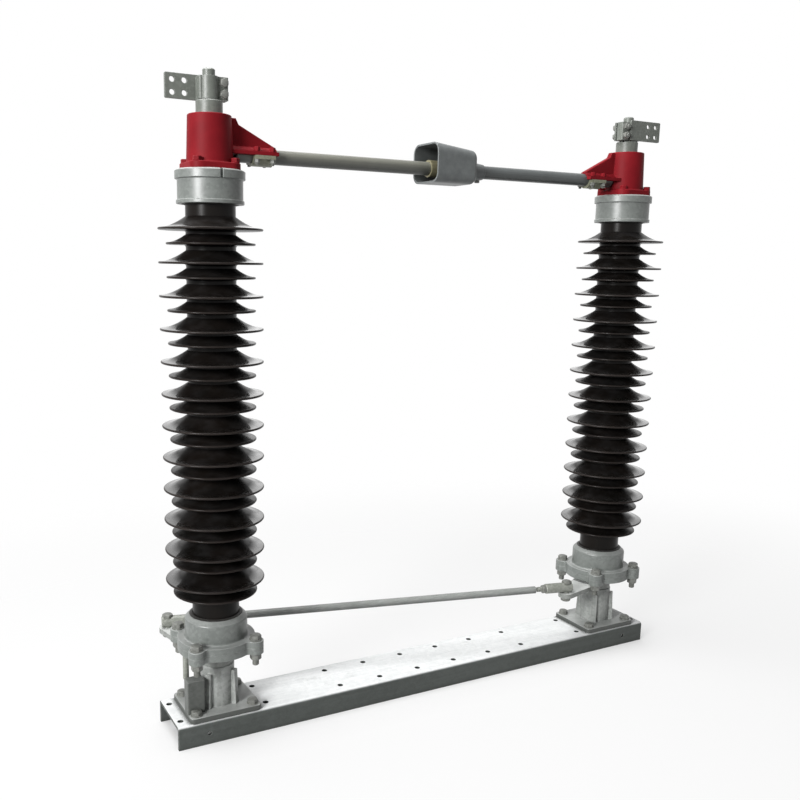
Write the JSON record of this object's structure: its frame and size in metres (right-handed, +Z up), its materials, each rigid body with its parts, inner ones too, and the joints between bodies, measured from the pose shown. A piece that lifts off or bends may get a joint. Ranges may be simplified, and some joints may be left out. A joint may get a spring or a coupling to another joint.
{
  "type": "substation disconnect switch",
  "caption": "Centre-break disconnect switch: turning post insulators on a channel base carry blades that meet in a hood and swing open together.",
  "frame": {"origin": "centre of the base channel's underside, midway between the columns, where the base rests on its support", "axes": "+X along the channel from the left column to the right one, +Z up the columns, -Y to the side that the blades swing to"},
  "size_m": [1.44, 0.3133, 1.5136],
  "materials": {
    "galvanised": "hot-dip galvanised, matt with faint spangle",
    "housing_grey": "galvanised casting, matt grey",
    "fitting_grey": "galvanised cast fitting, satin light grey",
    "zinc_steel": "zinc plated steel",
    "link_zinc": "zinc plated tube, satin",
    "rod_end_zinc": "zinc plated, slightly yellow",
    "porcelain_glaze": "very dark brown glossy glaze",
    "red_paint": "deep red enamel on a casting, satin gloss",
    "clamp_zinc": "zinc plated with a green cast",
    "blade_aluminium": "drawn tube, grey and slightly olive",
    "contact_bronze": "silvered copper alloy, dull yellow",
    "hood_grey": "formed sheet, satin grey",
    "terminal_tin": "tinned, satin grey"
  },
  "bodies": {
    "base": {"base_channel": "galvanised", "left_bearing_housing": "housing_grey", "right_bearing_housing": "housing_grey", "left_stop_block": "housing_grey"},
    "left_column": {"left_crank": "housing_grey", "left_turning_plate": "fitting_grey", "left_stop_pin": "zinc_steel", "left_bottom_fitting": "fitting_grey", "left_insulator": "porcelain_glaze", "left_top_fitting": "fitting_grey", "left_head": "red_paint", "left_blade_clamp": "clamp_zinc", "left_blade": "blade_aluminium", "left_contact": "contact_bronze"},
    "right_column": {"right_crank": "housing_grey", "right_turning_plate": "fitting_grey", "right_bottom_fitting": "fitting_grey", "right_insulator": "porcelain_glaze", "right_top_fitting": "fitting_grey", "right_head": "red_paint", "right_blade_clamp": "clamp_zinc", "right_blade": "blade_aluminium", "finger_carrier": "contact_bronze", "upper_fingers": "contact_bronze", "lower_fingers": "contact_bronze", "contact_hood": "hood_grey"},
    "link_rod": {"link_rod": "link_zinc", "left_rod_end": "rod_end_zinc"},
    "right_rod_end": {"right_rod_end": "rod_end_zinc"},
    "left_terminal": {"left_terminal_stem": "terminal_tin", "left_terminal_clamp": "terminal_tin", "left_terminal_pad": "terminal_tin"},
    "right_terminal": {"right_terminal_stem": "terminal_tin", "right_terminal_clamp": "terminal_tin", "right_terminal_pad": "terminal_tin"}
  },
  "joints": [
    {"name": "left_turn", "type": "hinge", "parent": "base", "child": "left_column", "pos_m": [-0.6, 0, 0.2], "axis": [0, 0, -1], "range_deg": [0, 90]},
    {"name": "right_turn", "type": "hinge", "parent": "base", "child": "right_column", "pos_m": [0.6, 0, 0.2], "axis": [0, 0, 1], "range_deg": [0, 90]},
    {"name": "link_rod_pivot", "type": "hinge", "parent": "left_column", "child": "link_rod", "pos_m": [-0.66809, 0.17738, 0.2123], "axis": [0, 0, 1], "range_deg": [0, 90]},
    {"name": "right_rod_end_pivot", "type": "hinge", "parent": "right_column", "child": "right_rod_end", "pos_m": [0.42262, -0.06809, 0.2123], "axis": [0, 0, -1], "range_deg": [0, 90]},
    {"name": "left_terminal_swivel", "type": "hinge", "parent": "left_column", "child": "left_terminal", "pos_m": [-0.6, 0, 1.43], "axis": [0, 0, 1], "range_deg": [0, 90]},
    {"name": "right_terminal_swivel", "type": "hinge", "parent": "right_column", "child": "right_terminal", "pos_m": [0.6, 0, 1.43], "axis": [0, 0, -1], "range_deg": [0, 90]}
  ],
  "couplings": [
    {"joint": "right_turn", "follows": "left_turn", "ratio": 1},
    {"joint": "link_rod_pivot", "follows": "left_turn", "ratio": 1},
    {"joint": "right_rod_end_pivot", "follows": "left_turn", "ratio": 1}
  ]
}
